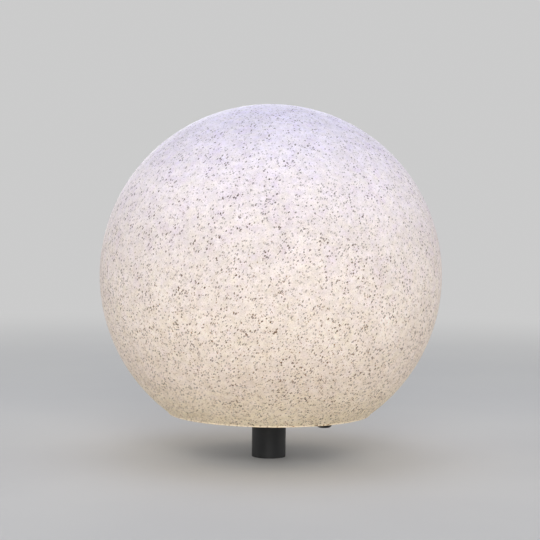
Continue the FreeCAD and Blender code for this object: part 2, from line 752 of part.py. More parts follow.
def gland_seal():
    """Rubber sleeve that grips the cable."""
    body = new_body("gland_seal")
    turned(body, "sleeve", [
        ("seal_bore", "seal_foot"),
        ("nut_mouth - seal_play", "seal_foot"),
        ("gland_pocket - seal_play", "nut_dome"),
        ("gland_pocket - seal_play", "seal_top"),
        ("seal_bore", "seal_top"),
    ])
    set_off(body, "gland_offset")
    return body


def gland_locknut():
    """Hexagon nut on the gland's upper thread."""
    body = new_body("gland_locknut")
    plan = drawing(body, "plan", "XY_Plane", PLATE_TOP)
    hexagon(plan, "locknut_flats")
    disc(plan, "gland_hole")
    raised(body, plan, "locknut_rise", "hexagon")
    set_off(body, "gland_offset")
    return body


# ---------------------------------------------------------------- terminals, clamp and leads

TUBE_HEIGHT = f"{PLATE_TOP} + tube_level"


def terminal_block():
    """Two-pole insulating block: a base, two raised poles, tube bores and screw wells."""
    body = new_body("terminal_block")
    base = drawing(body, "base_plan", "XY_Plane", PLATE_TOP)
    block(base, ("-block_offset - block_depth / 2", "-block_width / 2"),
          ("-block_offset + block_depth / 2", "block_width / 2"))
    raised(body, base, "block_base", "base")
    poles = drawing(body, "poles_plan", "XY_Plane", PLATE_TOP)
    for side in ("", "-"):
        middle = f"{side}pole_offset"
        block(poles, ("-block_offset - block_depth / 2", f"{middle} - block_top / 2"),
              ("-block_offset + block_depth / 2", f"{middle} + block_top / 2"))
    raised(body, poles, "block_rise", "poles")
    bores = drawing(body, "bores", "YZ_Plane", "-block_offset - block_depth / 2")
    wells = drawing(body, "wells", "XY_Plane", TUBE_HEIGHT)
    for side in ("", "-"):
        middle = f"{side}pole_offset"
        disc(bores, "tube_radius", middle, TUBE_HEIGHT)
        for end in ("-", "+"):
            disc(wells, "block_screw_hole", f"-block_offset {end} block_screw_offset", middle)
    cut(body, bores, "block_depth", "tube_bore", upwards=True)
    cut(body, wells, "block_rise - tube_level", "well", upwards=True)
    return body


def terminal_tubes():
    """Brass tubes inside the block, one for each pole, with threaded holes for the screws."""
    body = new_body("terminal_tubes")
    plan = drawing(body, "plan", "YZ_Plane", "-block_offset - block_depth / 2 + tube_inset")
    wells = drawing(body, "wells", "XY_Plane", TUBE_HEIGHT)
    for side in ("", "-"):
        middle = f"{side}pole_offset"
        disc(plan, "tube_radius - play", middle, TUBE_HEIGHT)
        disc(plan, "tube_bore", middle, TUBE_HEIGHT)
        for end in ("-", "+"):
            disc(wells, "block_screw", f"-block_offset {end} block_screw_offset", middle)
    raised(body, plan, "block_depth - 2 * tube_inset", "tubes")
    cut(body, wells, "2 * tube_radius", "well", upwards=True)
    return body


def terminal_screws():
    """Grub screws that clamp the wires in the tubes."""
    body = new_body("terminal_screws")
    plan = drawing(body, "plan", "XY_Plane", f"{TUBE_HEIGHT} + tube_bore")
    for side in ("", "-"):
        for end in ("-", "+"):
            across = f"-block_offset {end} block_screw_offset"
            disc(plan, "block_screw - play", across, f"{side}pole_offset")
    raised(body, plan, "block_screw_top - tube_level - tube_bore", "pins")
    return body


CLAMP_FOOT = f"{PLATE_TOP} + clamp_pad"


def strain_clamp():
    """Saddle that holds the cable down beside the gland."""
    body = new_body("strain_clamp")
    side = drawing(body, "side", "YZ_Plane", "clamp_offset - clamp_depth / 2")
    half, crown, gauge = "clamp_width / 2", "clamp_crown / 2", "clamp_wall"
    crest = f"{CLAMP_FOOT} + clamp_rise"
    outline(side, [
        (f"-{half}", CLAMP_FOOT),
        (f"-{crown} + {gauge}", CLAMP_FOOT),
        (f"-{crown} + 2 * {gauge}", f"{crest} - {gauge}"),
        (f"{crown} - 2 * {gauge}", f"{crest} - {gauge}"),
        (f"{crown} - {gauge}", CLAMP_FOOT),
        (half, CLAMP_FOOT),
        (half, f"{CLAMP_FOOT} + {gauge}"),
        (crown, f"{CLAMP_FOOT} + {gauge}"),
        (f"{crown} - {gauge}", crest),
        (f"-{crown} + {gauge}", crest),
        (f"-{crown}", f"{CLAMP_FOOT} + {gauge}"),
        (f"-{half}", f"{CLAMP_FOOT} + {gauge}"),
    ])
    raised(body, side, "clamp_depth", "strap")
    holes = drawing(body, "holes", "XY_Plane", CLAMP_FOOT)
    for way in ("", "-"):
        disc(holes, "lid_screw_hole", "clamp_offset", f"{way}clamp_screw_offset")
    cut(body, holes, "clamp_wall", "hole", upwards=True)
    return body


def strain_screws():
    """The clamp's two screws."""
    body = new_body("strain_screws")
    seat = f"{CLAMP_FOOT} + clamp_wall"
    for name, level, radius, rise in (
        ("shanks", f"{PLATE_TOP} + clamp_pad", "lid_screw", "clamp_wall"),
        ("heads", seat, "lid_screw_head", "lid_screw_rise"),
    ):
        plan = drawing(body, f"{name}_plan", "XY_Plane", level)
        for way in ("", "-"):
            disc(plan, radius, "clamp_offset", f"{way}clamp_screw_offset")
        raised(body, plan, rise, name)
    return body


def lead(label, side):
    """Insulated wire from its terminal over the socket and up the threaded tube."""
    start_across = -size("block_offset - block_depth / 2")
    pole, spread = side * size("pole_offset"), side * size("lead_spread")
    low, crest = size(TUBE_HEIGHT), size("lead_crest")
    lift, bend = -size("lead_lift"), size("lead_bend")
    end = size("dome_ledge - contact_gauge")
    route = [
        FreeCAD.Vector(start_across, pole, low),
        FreeCAD.Vector(lift, pole, low),
        FreeCAD.Vector(lift, pole, crest),
        FreeCAD.Vector(0, spread, crest),
        FreeCAD.Vector(0, spread, end),
    ]
    edges = []
    here = route[0]
    for before, corner, after in zip(route, route[1:], route[2:]):
        arriving = (corner - before).normalize()
        leaving = (after - corner).normalize()
        half_turn = arriving.getAngle(leaving) / 2
        room = min((corner - before).Length, (after - corner).Length) / 2
        radius = min(bend, room / math.tan(half_turn))
        reach = radius * math.tan(half_turn)
        entry, leave = corner - arriving * reach, corner + leaving * reach
        inward = (leaving - arriving).normalize()
        middle = corner + inward * (radius / math.cos(half_turn) - radius)
        if (entry - here).Length > 0.01:
            edges.append(Part.makeLine(here, entry))
        edges.append(Part.Arc(entry, middle, leave).toShape())
        here = leave
        print(f"{label}: bend radius {radius:.1f}")
    edges.append(Part.makeLine(here, route[-1]))
    path = Part.Wire(edges)
    section = Part.Wire([Part.makeCircle(size("lead_radius"), route[0], route[1] - route[0])])
    wire = doc.addObject("Part::Feature", label)
    wire.Label = label
    wire.Shape = path.makePipeShell([section], True, False)
    return wire


# ---------------------------------------------------------------- lampholder

def holder_nipple():
    """Threaded tube that bolts the lampholder to the lid and takes the leads."""
    body = new_body("holder_nipple")
    turned(body, "tube", [
        ("nipple_bore", "nipple_foot"),
        ("nipple_radius", "nipple_foot"),
        ("nipple_radius", "nipple_top"),
        ("nipple_bore", "nipple_top"),
    ])
    return body


def nipple_nut():
    """Nut of the threaded tube, under the lid."""
    body = new_body("nipple_nut")
    plan = drawing(body, "plan", "XY_Plane", "chamber_top - nipple_nut_rise")
    hexagon(plan, "nipple_flats")
    disc(plan, "nipple_hole")
    raised(body, plan, "nipple_nut_rise", "hexagon")
    return body


def holder_dome():
    """Lower half of the lampholder."""
    body = new_body("holder_dome")
    turned(body, "shell", [
        ("nipple_hole", LID_TOP),
        ("dome_foot", LID_TOP),
        ("holder_radius", "dome_shoulder", "holder_radius"),
        ("holder_radius", "dome_top"),
        ("holder_radius - holder_wall", "dome_top"),
        ("holder_radius - holder_wall", "dome_ledge"),
        ("dome_ledge_bore", "dome_ledge"),
        ("dome_foot - holder_wall", f"{LID_TOP} + holder_wall"),
        ("nipple_hole", f"{LID_TOP} + holder_wall"),
    ])
    return body


def holder_sleeve():
    """Upper half of the lampholder, with grip flutes round its outside."""
    body = new_body("holder_sleeve")
    tube = turned(body, "tube", [
        ("holder_radius - holder_wall", "dome_top"),
        ("holder_radius", "dome_top"),
        ("holder_radius", "sleeve_top"),
        ("sleeve_bore", "sleeve_top"),
        ("sleeve_bore", "sleeve_step"),
        ("holder_radius - holder_wall", "sleeve_step"),
    ])
    rounded(body, tube, "rim_round", ("holder_radius", "sleeve_top"))
    flutes = drawing(body, "flutes", "XY_Plane", "flute_foot")
    disc(flutes, "flute_radius", "flute_offset")
    flute = cut(body, flutes, "flute_top - flute_foot", "flute", upwards=True)
    round_the_axis(body, flute, "flute_count")
    return body


def holder_base():
    """Ceramic disc that carries the contacts."""
    body = new_body("holder_base")
    turned(body, "disc", [
        ("0", "dome_ledge"),
        ("ceramic_radius", "dome_ledge"),
        ("ceramic_radius", "ceramic_top"),
        ("0", "ceramic_top"),
    ])
    holes = drawing(body, "holes", "XY_Plane", "dome_ledge")
    disc(holes, "ceramic_hole", "0", "-lead_spread")
    disc(holes, "ceramic_hole", "0", "side_rivet")
    cut(body, holes, "ceramic_top - dome_ledge", "hole", upwards=True)
    return body


def threaded_shell():
    """Brass screw shell with a bottom flange; its rolled thread isn't cut here."""
    body = new_body("threaded_shell")
    turned(body, "wall", [
        ("shell_flange", "ceramic_top"),
        ("shell_outer", "ceramic_top"),
        ("shell_outer", "shell_top"),
        ("shell_inner", "shell_top"),
        ("shell_inner", "ceramic_top + shell_gauge"),
        ("shell_flange", "ceramic_top + shell_gauge"),
    ])
    return body


def centre_contact():
    """Live contact: a foot under the ceramic, a rivet through it and a domed top."""
    body = new_body("centre_contact")
    foot = drawing(body, "foot_plan", "XY_Plane", "dome_ledge - contact_gauge")
    block(foot, ("-contact_half", "-2 * contact_half"), ("contact_half", "lead_spread / 4"))
    raised(body, foot, "contact_gauge", "foot")
    rivet = drawing(body, "rivet_plan", "XY_Plane", "dome_ledge")
    disc(rivet, "contact_rivet", "0", "-lead_spread")
    raised(body, rivet, "ceramic_top - dome_ledge", "rivet")
    rise = "(contact_crown - ceramic_top - contact_gauge)"
    turned(body, "crown", [
        ("0", "ceramic_top"),
        ("contact_disc", "ceramic_top"),
        ("contact_disc", "ceramic_top + contact_gauge"),
        ("0", "contact_crown", f"(contact_disc^2 + {rise}^2) / (2 * {rise})"),
    ])
    return body


def side_contact():
    """Neutral contact: a foot under the ceramic and a rivet up to the screw shell."""
    body = new_body("side_contact")
    foot = drawing(body, "foot_plan", "XY_Plane", "dome_ledge - contact_gauge")
    block(foot, ("-contact_half", "lead_spread / 2"), ("contact_half", "side_foot"))
    raised(body, foot, "contact_gauge", "foot")
    rivet = drawing(body, "rivet_plan", "XY_Plane", "dome_ledge")
    disc(rivet, "contact_rivet", "0", "side_rivet")
    raised(body, rivet, "ceramic_top - dome_ledge", "rivet")
    return body


# ---------------------------------------------------------------- bulb

def bulb_tip():
    """Solder contact at the bottom of the bulb."""
    body = new_body("bulb_tip")
    turned(body, "button", [
        ("0", "tip_foot"),
        ("tip_face", "tip_foot"),
        ("tip_radius", "tip_foot + tip_rise / 2"),
        ("tip_radius", "tip_foot + tip_rise"),
        ("0", "tip_foot + tip_rise"),
    ])
    return body


def bulb_insulator():
    """Insulating cone between the tip and the screw cap."""
    body = new_body("bulb_insulator")
    turned(body, "cone", [
        ("tip_radius + play", "tip_foot + tip_rise / 2"),
        ("tip_radius + overlap", "tip_foot + tip_rise / 2"),
        ("insulator_radius", "insulator_top"),
        ("0", "insulator_top"),
        ("0", "tip_foot + tip_rise + play"),
        ("tip_radius + play", "tip_foot + tip_rise + play"),
    ])
    return body


def bulb_cap():
    """Screw cap of the bulb; its rolled thread isn't cut here."""
    body = new_body("bulb_cap")
    turned(body, "shell", [
        ("insulator_radius - cap_wall", "insulator_top"),
        ("insulator_radius", "insulator_top"),
        ("cap_radius", "cap_foot"),
        ("cap_radius", "cap_top"),
        ("cap_radius - cap_wall", "cap_top"),
        ("cap_radius - cap_wall", "cap_foot"),
    ])
    return body


def bulb_heatsink():
    """Hollow flared body of the bulb."""
    body = new_body("bulb_heatsink")
    turned(body, "shell", [
        ("sink_neck - sink_wall", "sink_foot"),
        ("sink_neck", "sink_foot"),
        ("sink_radius", "sink_flare", "sink_bend"),
        ("sink_radius - sink_wall", "sink_flare"),
        ("sink_neck - sink_wall", "sink_foot + sink_wall", "-sink_bend"),
    ])
    return body


def led_board():
    """Round metal-core board that closes the heat sink."""
    body = new_body("led_board")
    plan = drawing(body, "plan", "XY_Plane", "board_height")
    disc(plan, "board_radius")
    raised(body, plan, "board_wall", "disc")
    return body


def led_chips():
    """Light-emitting chips in a ring on the round board."""
    body = new_body("led_chips")
    plan = drawing(body, "plan", "XY_Plane", "board_height + board_wall")
    block(plan, ("chip_circle - chip_half", "-chip_half"), ("chip_circle + chip_half", "chip_half"))
    chip = raised(body, plan, "chip_rise", "chip")
    round_the_axis(body, chip, "chip_count")
    return body


def driver_board():
    """Upright board with the driver circuit."""
    body = new_body("driver_board")
    plan = drawing(body, "plan", "XY_Plane", "driver_foot")
    block(plan, ("-driver_half", "-board_wall / 2"), ("driver_half", "board_wall / 2"))
    raised(body, plan, "driver_top - driver_foot", "plate")
    return body


def bulb_diffuser():
    """Opal dome over the chips."""
    body = new_body("bulb_diffuser")
    inner = "(diffuser_radius - diffuser_wall)"
    drop = "(diffuser_centre - sink_flare)"
    turned(body, "dome", [
        ("0", f"diffuser_centre + {inner}", inner),
        ("0", "diffuser_centre + diffuser_radius"),
        (f"sqrt(diffuser_radius^2 - {drop}^2)", "sink_flare", "-diffuser_radius"),
        (f"sqrt({inner}^2 - {drop}^2)", "sink_flare"),
    ])
    return body


# ---------------------------------------------------------------- post and spike

def post_tube():
    """Round hollow post with a stepped spigot and two keys."""
    body = new_body("post_tube")
    tube = turned(body, "tube", [
        ("post_bore", "-post_foot"),
        ("post_radius", "-post_foot"),
        ("post_radius", "socket_mouth"),
        ("spigot_radius", "socket_mouth"),
        ("spigot_radius", "spigot_top - spigot_chamfer"),
        ("spigot_radius - spigot_chamfer", "spigot_top"),
        ("post_bore", "spigot_top"),
    ])
    keys = drawing(body, "keys", "XY_Plane", "socket_mouth - overlap")
    block(keys, ("spigot_radius - overlap", "-key_half"), ("key_reach", "key_half"))
    key = raised(body, keys, "spigot_top - socket_mouth - spigot_chamfer", "key")
    round_the_axis(body, key, "key_count")
    return body


def ground_spike():
    """Four-finned spike with barbs, a collar and a plug that fits up the post."""
    body = new_body("ground_spike")
    collar_foot = "(post_foot + collar_wall)"
    turned(body, "plug", [
        ("0", f"-{collar_foot}"),
        ("collar_radius", f"-{collar_foot}"),
        ("collar_radius", "-post_foot"),
        ("plug_radius", "-post_foot"),
        ("plug_radius", "plug_top - spigot_chamfer"),
        ("plug_radius - spigot_chamfer", "plug_top"),
        ("0", "plug_top"),
    ])
    reach, notch = "fin_reach", "fin_notch"
    right = [
        ("spike_point", "-spike_depth"),
        (f"{reach} * fin_taper - {notch} / 2", "-(spike_depth + fin_shoulder) / 2"),
        (f"{reach} * fin_taper + {notch} / 2", "-(spike_depth + fin_shoulder) / 2"),
        (f"{reach} - {notch}", "-fin_shoulder"),
        (reach, "-fin_shoulder"),
        (reach, f"-{collar_foot} + overlap"),
    ]
    left = [(f"-({across})", up) for across, up in reversed(right)]
    for name, role in (("fins", "XZ_Plane"), ("cross_fins", "YZ_Plane")):
        side = drawing(body, f"{name}_side", role)
        outline(side, left + right)
        raised(body, side, "fin_wall", name, both_ways=True)
    return body


# ---------------------------------------------------------------- build, check and write

PIECES = [
    globe_shell, neck_gasket, neck_ring, neck_screws,
    base_plate, base_gasket, wiring_cover, cover_screws,
    gland_washer, gland_body, gland_nut, gland_seal, gland_locknut,
    terminal_block, terminal_tubes, terminal_screws, strain_clamp, strain_screws,
    holder_nipple, nipple_nut, holder_dome, holder_sleeve, holder_base, threaded_shell,
    centre_contact, side_contact,
    bulb_tip, bulb_insulator, bulb_cap, bulb_heatsink, led_board, led_chips, driver_board,
    bulb_diffuser,
    post_tube, ground_spike,
]
pieces = [make() for make in PIECES]
pieces.append(lead("lead_live", -1))
pieces.append(lead("lead_neutral", 1))
doc.recompute()

for item in doc.Objects:
    if {"Invalid", "Error"} & set(item.State):
        raise RuntimeError(f"{item.Label} failed: {item.State}")
for piece in pieces:
    if piece.Shape.isNull() or not piece.Shape.isValid() or not piece.Shape.Solids:
        raise RuntimeError(f"{piece.Label} has no valid solid")
for piece in pieces:
    piece.Shape.exportStep(f"parts/{piece.Label}.step")
    print(f"{piece.Label}: {len(piece.Shape.Solids)} solids, {piece.Shape.Volume / 1000:.2f} cm3")
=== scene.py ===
"""Garden globe light on a ground spike, dressed for its picture. The frame is in metres, +Z is up."""
import bmesh
import bpy
import math
from mathutils import Matrix, Vector


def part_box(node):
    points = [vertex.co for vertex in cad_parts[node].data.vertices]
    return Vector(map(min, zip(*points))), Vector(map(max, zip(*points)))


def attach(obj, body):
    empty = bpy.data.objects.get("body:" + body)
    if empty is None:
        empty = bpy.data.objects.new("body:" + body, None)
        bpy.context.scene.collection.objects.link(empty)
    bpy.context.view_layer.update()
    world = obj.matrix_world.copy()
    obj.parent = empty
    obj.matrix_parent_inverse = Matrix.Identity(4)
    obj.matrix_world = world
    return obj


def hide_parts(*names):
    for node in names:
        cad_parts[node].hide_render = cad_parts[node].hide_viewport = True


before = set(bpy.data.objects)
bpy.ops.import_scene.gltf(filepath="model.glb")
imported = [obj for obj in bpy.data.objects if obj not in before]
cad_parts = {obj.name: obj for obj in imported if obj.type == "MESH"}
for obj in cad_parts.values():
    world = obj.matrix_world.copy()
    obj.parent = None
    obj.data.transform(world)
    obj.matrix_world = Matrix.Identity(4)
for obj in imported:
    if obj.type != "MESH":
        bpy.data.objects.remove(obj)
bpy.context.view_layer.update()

# ---------------------------------------------------------------- globe shell
# A one-piece hollow globe of stone-speckled polyethylene, spun in a hot mould so that its wall is even.
# The thin pale plastic lets some light through, and a faint painted glow stands for it.
# Its foot ring and its recessed floor with the round opening belong to the same moulding.

MM = 0.001


def corners_of(node):
    """The lowest and the highest corner of a CAD node, in mm."""
    low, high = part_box(node)
    return Vector(low) / MM, Vector(high) / MM


class Shade:
    """A value in a material. Python's operators on it add the nodes that work it out."""

    def __init__(self, tree, socket=None):
        self.tree = tree
        self.socket = socket

    def node(self, kind, settings=None, sockets=None, out=0):
        """Adds a node: its settings first, then the values or links of its sockets."""
        added = self.tree.nodes.new(kind)
        for name, value in (settings or {}).items():
            if name == "stops":
                fill_ramp(added.color_ramp, value)
            else:
                setattr(added, name, value)
        for name, value in (sockets or {}).items():
            if isinstance(value, Shade):
                self.tree.links.new(value.socket, added.inputs[name])
            else:
                added.inputs[name].default_value = value
        return Shade(self.tree, added.outputs[out] if added.outputs else None)

    def output(self, index):
        """Another output of the same node."""
        return Shade(self.tree, self.socket.node.outputs[index])

    def maths(self, operation, *values):
        return self.node("ShaderNodeMath", {"operation": operation}, dict(enumerate(values)))

    def __add__(self, other):
        return self.maths("ADD", self, other)

    def __sub__(self, other):
        return self.maths("SUBTRACT", self, other)

    def __rsub__(self, other):
        return self.maths("SUBTRACT", other, self)

    def __mul__(self, other):
        return self.maths("MULTIPLY", self, other)

    def __truediv__(self, other):
        return self.maths("DIVIDE", self, other)

    __radd__ = __add__
    __rmul__ = __mul__

    def step(self, low, high, start=0.0, end=1.0):
        """Runs smoothly from start to end as the value goes from low to high."""
        sockets = {"Value": self, "From Min": low, "From Max": high, "To Min": start, "To Max": end}
        return self.node("ShaderNodeMapRange", {"interpolation_type": "SMOOTHSTEP"}, sockets)

    def blend(self, first, second):
        """Mixes two colours by this value."""
        return self.node("ShaderNodeMix", {"data_type": "RGBA"}, {0: self, 6: first, 7: second}, 2)

    def vectors(self, operation, *values):
        """Vector maths, also for colours. A LENGTH comes back as a plain number."""
        out = 1 if operation == "LENGTH" else 0
        settings = {"operation": operation}
        return self.node("ShaderNodeVectorMath", settings, dict(enumerate(values)), out)


def fill_ramp(ramp, stops):
    """Sets a colour ramp's stops, given as (place, colour) pairs."""
    while len(ramp.elements) < len(stops):
        ramp.elements.new(1.0)
    for element, (place, colour) in zip(ramp.elements, stops):
        element.position = place
        element.color = colour


def new_finish(name, recipe):
    """A material whose recipe gives the sockets of its Principled shader."""
    material = bpy.data.materials.new(name)
    material.use_nodes = True
    tree = material.node_tree
    tree.nodes.clear()
    shade = Shade(tree)
    surface = shade.node("ShaderNodeBsdfPrincipled", {}, recipe(shade))
    shade.node("ShaderNodeOutputMaterial", {}, {"Surface": surface})
    return material


def object_place(shade):
    return shade.node("ShaderNodeTexCoord", {}, {}, 3)


def height_of(shade, place):
    return shade.node("ShaderNodeSeparateXYZ", {}, {"Vector": place}, 2)


def noise(shade, place, scale, detail=2.0, roughness=0.5, out=0):
    """Cloud noise of about so many blotches to the metre."""
    sockets = {"Vector": place, "Scale": scale, "Detail": detail, "Roughness": roughness}
    return shade.node("ShaderNodeTexNoise", {}, sockets, out)


def bump(shade, height, strength, depth, under=None):
    """Relief of that many mm on a surface, or on the rounded edges that are under it."""
    sockets = {"Strength": strength, "Distance": depth * MM, "Height": height}
    if under:
        sockets["Normal"] = under
    return shade.node("ShaderNodeBump", {}, sockets)


def flecks(shade, place, gap, radius, share):
    """Scattered grains: cells gap apart, a share of which hold a grain of up to radius, in mm."""
    cells = {"Vector": place, "Scale": 1 / (gap * MM), "Randomness": 1.0}
    distance = shade.node("ShaderNodeTexVoronoi", {}, cells)
    chance = shade.node("ShaderNodeSeparateColor", {}, {"Color": distance.output(1)}, 0)
    reach = chance.step(1 - share, 1 - share / 2, end=radius / gap)
    inside = (reach - distance) * (gap / radius)
    return inside.step(0.0, 0.1) * chance.output(1).step(0.0, 1.0, start=0.7)


globe_low, globe_high = corners_of("globe_shell")
GLOBE_RADIUS = globe_high.x
SUMMIT = globe_high.z
RIM_HEIGHT = globe_low.z
GLOBE_CENTRE = SUMMIT - GLOBE_RADIUS

PURE = (1, 1, 1, 1)
# the plastic's own cream under painted light, from the rim to the summit: painted tan light from below,
# cream, white, painted lilac light from above
PLASTIC_AND_PAINTED_LIGHT = [
    (0.00, (0.79, 0.67, 0.49, 1)),
    (0.15, (0.775, 0.655, 0.55, 1)),
    (0.34, (0.825, 0.72, 0.635, 1)),
    (0.58, (0.765, 0.685, 0.66, 1)),
    (0.75, (0.78, 0.715, 0.745, 1)),
    (1.00, (0.65, 0.625, 0.775, 1)),
]
# what a grain leaves of the colour round it, low down and high up; the browner grains low down follow
# the painted tan light
FAINT_LOW = (0.30, 0.13, 0.00, 1)
FAINT_HIGH = (0.20, 0.16, 0.16, 1)
DARK_LOW = (0.12, 0.05, 0.00, 1)
DARK_HIGH = (0.08, 0.05, 0.06, 1)
MAUVE = (0.955, 0.935, 0.985, 1)
# how far red, green and blue follow a change of tone, low down and high up
TONE_LOW = (0.84, 1.0, 1.2, 1)
TONE_HIGH = (0.9, 0.93, 0.92, 1)
# how far the ground's red, green and blue drift from place to place
HUE_SWING = (0.05, 0.04, 0.25)
# how far the grains' outlines are shaken, in mm, and how the grains are turned and stretched
SHAKE = 2.4
GRAIN_TURN = (0, 0.6, 0)
GRAIN_STRETCH = (0.87, 1, 1.4)
PAINTED_GLOW = 0.15
HALF = (0.5, 0.5, 0.5)
ONES = (1, 1, 1)


def speckled_globe(shade):
    """Stone-effect plastic: clouded pale ground, dark brown grains, faint mauve patches, with painted
    tan light low down and painted lilac light high up.
    """
    place = object_place(shade)
    climb = (height_of(shade, place) - RIM_HEIGHT * MM) / ((SUMMIT - RIM_HEIGHT) * MM)
    # painted light by height: the plastic's cream turns tan low down and lilac high up
    plastic_and_painted_light = shade.node("ShaderNodeValToRGB", {"stops": PLASTIC_AND_PAINTED_LIGHT}, {"Fac": climb})
    # the grains are longish, with uneven outlines, so the places they are looked up at are shaken
    shake = shade.vectors("SUBTRACT", noise(shade, place, scale=620, detail=1.0, out=1), HALF)
    shaken = shade.vectors("MULTIPLY_ADD", shake, (SHAKE * MM,) * 3, place)
    shaken = shade.node("ShaderNodeMapping", {"vector_type": "TEXTURE"},
                        {"Vector": shaken, "Rotation": GRAIN_TURN, "Scale": GRAIN_STRETCH})
    crowd = noise(shade, place, scale=58)
    # fewer cells hold a grain the higher they are
    share = climb.step(0.1, 0.85, start=0.46, end=0.27)
    dark = flecks(shade, shaken, gap=2.25, radius=1.06, share=share)
    dark = dark * crowd.step(0.4, 0.6, start=0.5)
    small = flecks(shade, shaken, gap=1.7, radius=0.68, share=share * 0.75)
    small = small * climb.step(0.15, 0.55, start=1.0, end=0.74)
    # the grains' tint by height is painted light: browner low down, greyer high up
    upper = climb.step(0.35, 0.85)
    faint = upper.blend(FAINT_LOW, FAINT_HIGH)
    umber = upper.blend(DARK_LOW, DARK_HIGH)
    grains = shade.vectors("MULTIPLY", small.blend(PURE, faint), dark.blend(PURE, umber))
    # clouds, mottle and fine grain change how light the ground is, hue how warm it is
    clouds = noise(shade, place, scale=24, detail=3.0)
    mottle = noise(shade, place, scale=135, roughness=0.6)
    grain = noise(shade, place, scale=860, roughness=0.7)
    tone = clouds.step(0.32, 0.68, start=0.957, end=1.027)
    tone = tone * mottle.step(0.34, 0.66, start=0.94, end=1.06)
    tone = tone * grain.step(0.3, 0.7, start=0.87, end=1.14)
    hue = noise(shade, place, scale=95, detail=3.0, roughness=0.7, out=1)
    hue = shade.vectors("MULTIPLY_ADD", shade.vectors("SUBTRACT", hue, HALF), HUE_SWING, ONES)
    patches = crowd.step(0.5, 0.7) * climb.step(0.25, 0.6)
    ground = shade.vectors("MULTIPLY", hue, patches.blend(PURE, MAUVE))
    # low down, what is darker is also browner: there blue falls furthest
    lean = climb.step(0.1, 0.8).blend(TONE_LOW, TONE_HIGH)
    shadow = shade.vectors("MULTIPLY_ADD", tone - 1, lean, ONES)
    tint = shade.vectors("MULTIPLY", shade.vectors("MULTIPLY", ground, grains), shadow)
    colour = shade.vectors("MULTIPLY", tint, plastic_and_painted_light)
    # the same colour, emitted faintly, is a painted glow for the light through the thin wall
    return {"Base Color": colour, "Emission Color": colour, "Emission Strength": PAINTED_GLOW,
            "Roughness": grain.step(0.2, 0.8, start=0.48, end=0.66), "Specular IOR Level": 0.3,
            "Normal": bump(shade, mottle + grain, strength=0.15, depth=0.3)}


def new_piece(name, mesh, body, slot, finish, *nodes):
    """A finished piece that rides on a body, takes a finish and stands for CAD nodes, which it hides.
    slot is not used.
    """
    piece = bpy.data.objects.new(name, mesh)
    bpy.context.scene.collection.objects.link(piece)
    mesh.materials.clear()
    mesh.materials.append(finish)
    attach(piece, body)
    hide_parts(*nodes)
    return piece


def softened(corners, steps=4):
    """Points along (across, up, rounding) corners. The first and last stay sharp."""
    points = [tuple(corners[0][:2])]
    for index in range(1, len(corners) - 1):
        across, up, rounding = corners[index]
        corner = Vector((across, up))
        before = Vector(corners[index - 1][:2]) - corner
        after = Vector(corners[index + 1][:2]) - corner
        reach = rounding / math.tan(before.angle(after) / 2)
        reach = min(reach, before.length / 2, after.length / 2)
        if reach == 0:
            points.append((across, up))
            continue
        start = corner + before.normalized() * reach
        end = corner + after.normalized() * reach
        for step in range(steps + 1):
            share = step / steps
            place = start.lerp(corner, share).lerp(corner.lerp(end, share), share)
            points.append(tuple(place))
    return points + [tuple(corners[-1][:2])]


SHARP_EDGE = math.radians(35)


def finished(form, name):
    """The mesh of a bmesh, smooth but for its sharp edges."""
    bmesh.ops.recalc_face_normals(form, faces=form.faces)
    mesh = bpy.data.meshes.new(name)
    form.to_mesh(mesh)
    form.free()
    for face in mesh.polygons:
        face.use_smooth = True
    mesh.set_sharp_from_angle(angle=SHARP_EDGE)
    return mesh


def turned(name, outline, segments=64, shape=None, axis=(0, 0)):
    """A closed outline of (radius, height) points in mm, spun round an upright axis.

    shape(radius, height, angle) gives a moved (radius, height), for threads and flats.
    """
    form = bmesh.new()
    rings = []
    for radius, height in outline:
        ring = []
        for step in range(segments if radius > 0 else 1):
            angle = math.tau * step / segments
            far, up = shape(radius, height, angle) if shape else (radius, height)
            across = axis[0] + far * math.cos(angle)
            along = axis[1] + far * math.sin(angle)
            ring.append(form.verts.new(Vector((across, along, up)) * MM))
        rings.append(ring * (segments // len(ring)))
    for index, ring in enumerate(rings):
        following = rings[(index + 1) % len(rings)]
        for step in range(segments):
            after = (step + 1) % segments
            corners = [ring[step], ring[after], following[after], following[step]]
            corners = list(dict.fromkeys(corners))
            if len(corners) > 2:
                form.faces.new(corners)
    return finished(form, name)


def arc(radius, height, start, end, steps):
    """Points on a circle about a point of the axis at that height, from angle to angle."""
    angles = [start + (end - start) * step / steps for step in range(steps + 1)]
    return [(radius * math.cos(angle), height + radius * math.sin(angle)) for angle in angles]


WALL = 3
RIM_RADIUS = 119.2
FOOT_INNER = 106.2
FLOOR_OUTER = 105
FLOOR_HOLE = 88
FLOOR_RECESS = 8
FLOOR = RIM_HEIGHT + FLOOR_RECESS
LIP = 0.8
lip_angle = -math.acos(RIM_RADIUS / GLOBE_RADIUS)
floor_angle = math.asin((FLOOR + WALL - GLOBE_CENTRE) / (GLOBE_RADIUS - WALL))
outside = arc(GLOBE_RADIUS, GLOBE_CENTRE, math.pi / 2, lip_angle, steps=160)
inside = arc(GLOBE_RADIUS - WALL, GLOBE_CENTRE, floor_angle, math.pi / 2, steps=70)
foot = softened([
    (*outside[-1], 0),
    (RIM_RADIUS, RIM_HEIGHT, LIP),
    (FOOT_INNER, RIM_HEIGHT, LIP),
    (FLOOR_OUTER, FLOOR, LIP),
    (FLOOR_HOLE, FLOOR, LIP / 2),
    (FLOOR_HOLE, FLOOR + WALL, LIP / 2),
    (*inside[0], 0),
])
outside[0] = (0, SUMMIT)
inside[-1] = (0, SUMMIT - WALL)
globe_mesh = turned("globe_skin", outside[:-1] + foot + inside[1:], segments=256)
speckle = new_finish("speckled_globe_plastic", speckled_globe)
